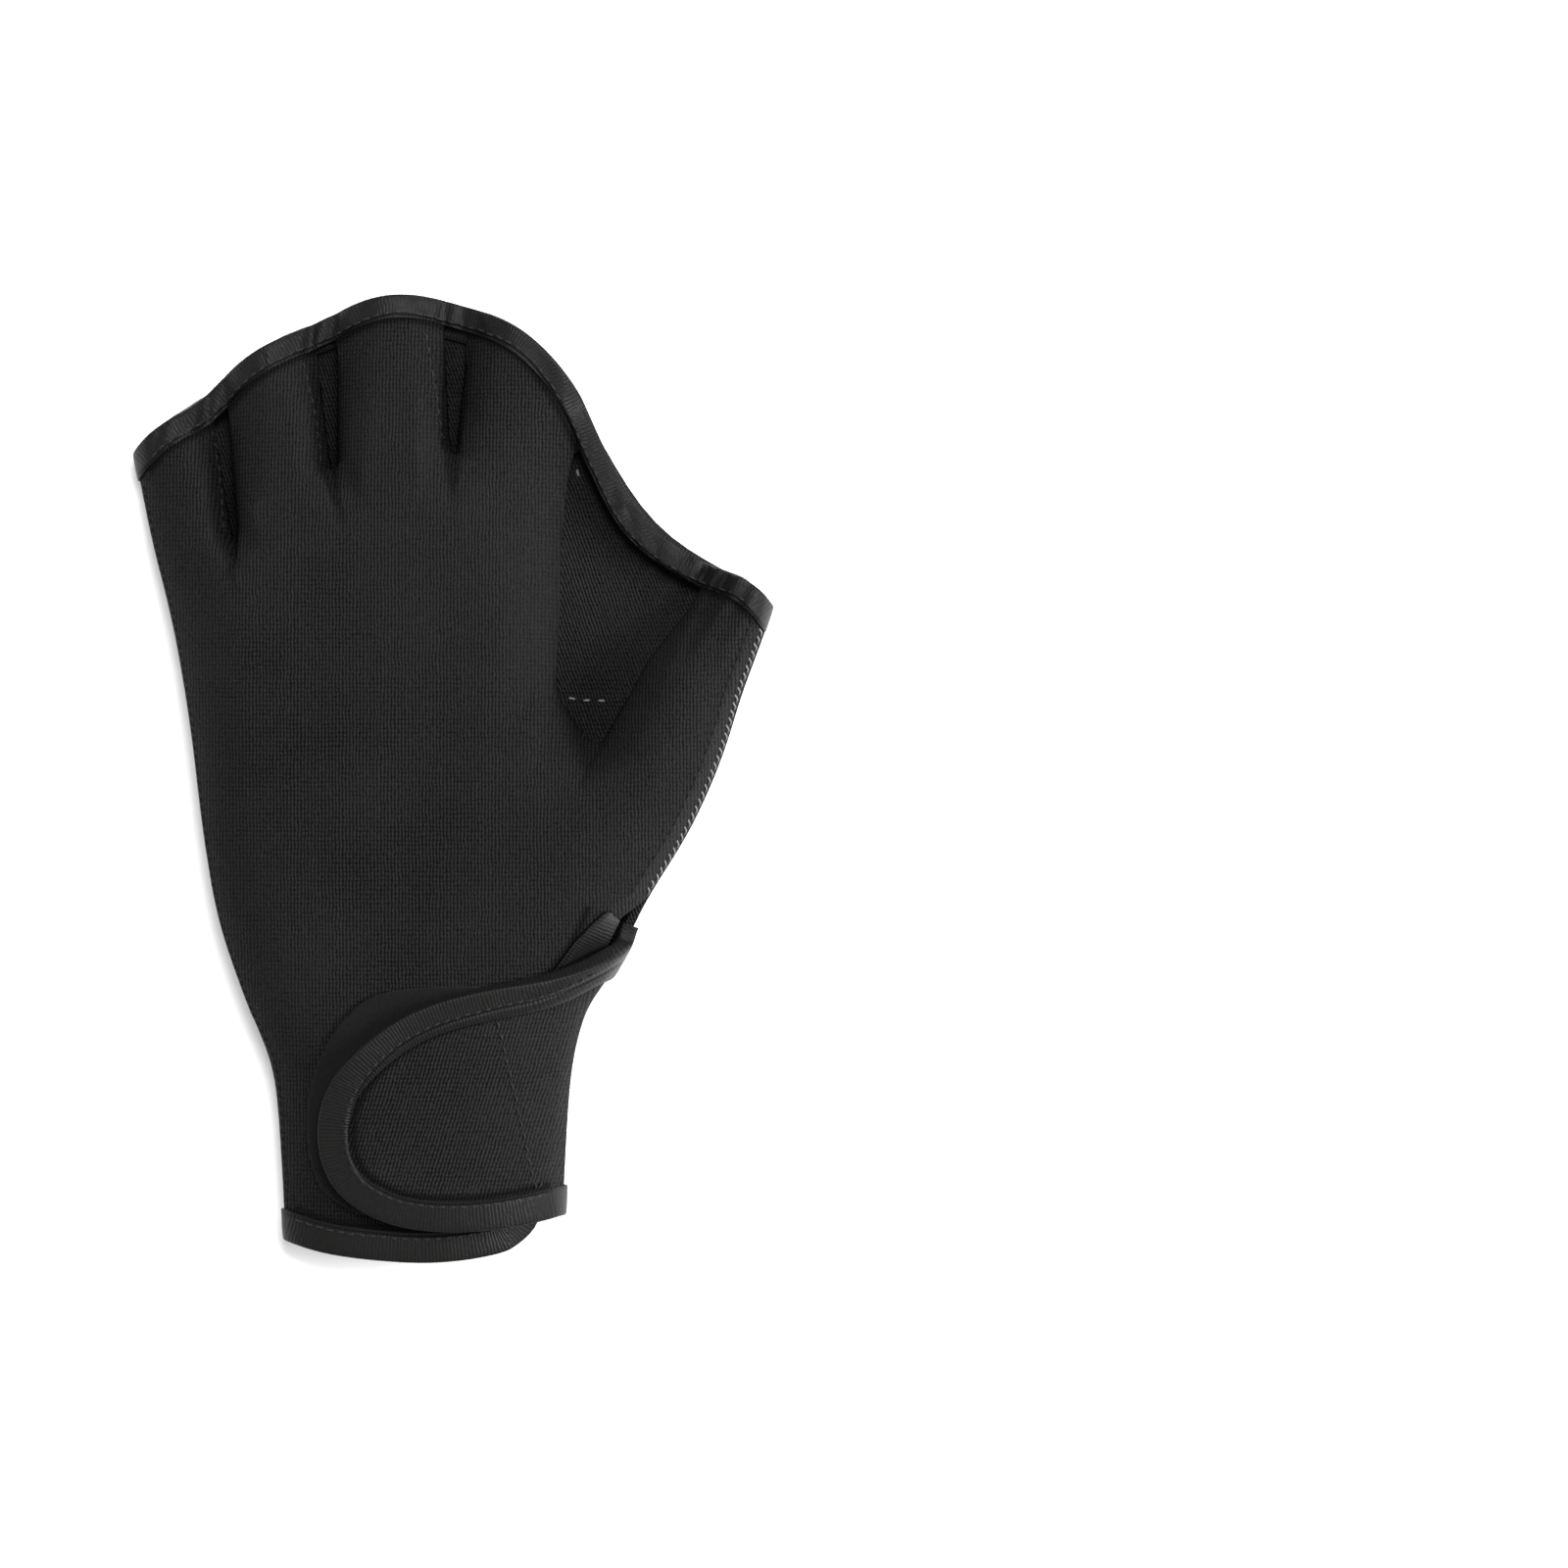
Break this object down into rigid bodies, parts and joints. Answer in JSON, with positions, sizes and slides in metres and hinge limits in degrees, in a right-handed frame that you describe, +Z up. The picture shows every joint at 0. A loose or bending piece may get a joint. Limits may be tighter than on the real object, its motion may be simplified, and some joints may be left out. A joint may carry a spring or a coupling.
{
  "type": "diving glove",
  "caption": "Fingerless webbed diving and swimming glove for one hand, lying palm up, with open finger ends, a thumb web, bound edges and a wrist strap folded over a fastening patch",
  "frame": {"origin": "on the surface under the glove, at the middle of the hand's length and width in plan", "axes": "+Z up out of the palm; +Y from the wrist to the fingers; +X towards the thumb; the glove lies on the back of the hand"},
  "size_m": [0.1604, 0.2388, 0.0324],
  "materials": {
    "neoprene": "matt black jersey-faced neoprene",
    "loop_pile": "fuzzy black loop pile",
    "binding_tape": "satin black woven tape"
  },
  "bodies": {
    "root": {"palm_panel": "neoprene", "back_panel": "neoprene", "wrist_strap": "neoprene", "loop_patch": "loop_pile", "finger_edge_binding": "binding_tape", "cuff_binding": "binding_tape", "strap_binding": "binding_tape"}
  },
  "joints": []
}
